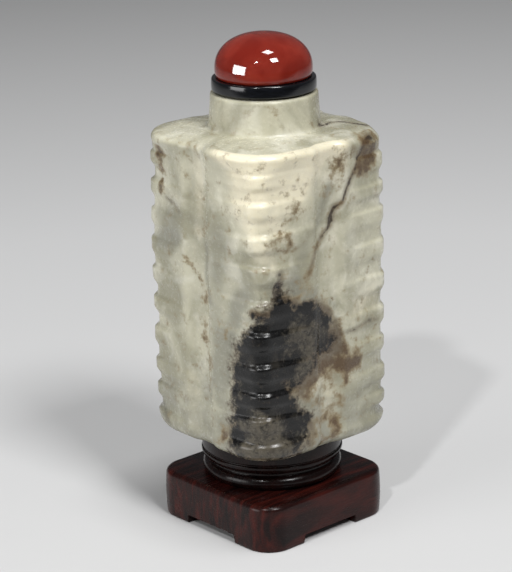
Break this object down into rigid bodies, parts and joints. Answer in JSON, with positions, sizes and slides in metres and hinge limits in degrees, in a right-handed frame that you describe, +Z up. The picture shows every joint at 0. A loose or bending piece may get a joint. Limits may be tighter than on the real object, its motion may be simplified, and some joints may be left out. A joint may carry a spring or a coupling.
{
  "type": "snuff bottle",
  "caption": "Square jade snuff bottle with ribbed corners and a channel down each face, domed red stopper with dark collar, on a square wooden stand with a turned seat.",
  "frame": {"origin": "on the ground, under the middle of the stand", "axes": "+Z up along the bottle's axis, X and Y square to the sides of the stand; the corner that the picture shows in front is at -X -Y"},
  "size_m": [0.0276, 0.0275, 0.0729],
  "materials": {
    "stand_wood": "dark red-brown hardwood, polished",
    "jade": "waxy polish, pale grey-green with brown and black inclusions",
    "cork": "plain cork",
    "black_collar": "black, glossy",
    "red_stone": "red-brown, high polish"
  },
  "bodies": {
    "root": {"stand": "stand_wood", "bottle": "jade", "stopper_cork": "cork", "stopper_collar": "black_collar", "stopper_dome": "red_stone"}
  },
  "joints": []
}
